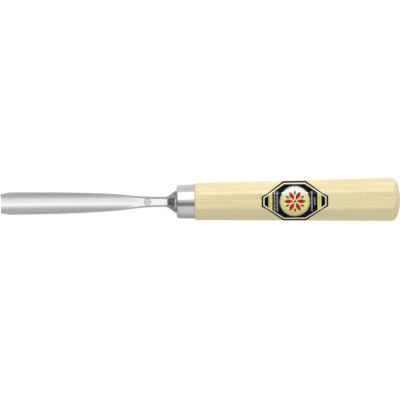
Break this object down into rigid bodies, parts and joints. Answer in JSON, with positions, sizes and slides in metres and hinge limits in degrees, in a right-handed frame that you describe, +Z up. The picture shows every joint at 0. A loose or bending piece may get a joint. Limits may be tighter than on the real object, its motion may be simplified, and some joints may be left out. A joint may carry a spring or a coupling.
{
  "type": "carving gouge",
  "caption": "Straight carving gouge with a fluted blade, flared bolster, metal ferrule and octagonal tapered wooden handle with a paper-thin label.",
  "frame": {"origin": "on the surface that the gouge lies on, under the middle of its bounding box", "axes": "+X along the handle towards the butt, so the cutting edge is towards -X; +Z up, the way the hollow of the blade opens; +Y across the blade"},
  "size_m": [0.255, 0.0272, 0.0273],
  "materials": {
    "ground_steel": "ground steel, satin along the blade, sharp ground edge",
    "nickel_plate": "drawn steel, nickel plated and polished, fine turned lines",
    "hornbeam": "pale close-grained hardwood, sanded and lacquered",
    "label_film": "thin glossy printed film, black with cream and yellow edging and a round ornament"
  },
  "bodies": {
    "root": {"blade_with_tang": "ground_steel", "ferrule": "nickel_plate", "handle": "hornbeam", "handle_label": "label_film"}
  },
  "joints": []
}
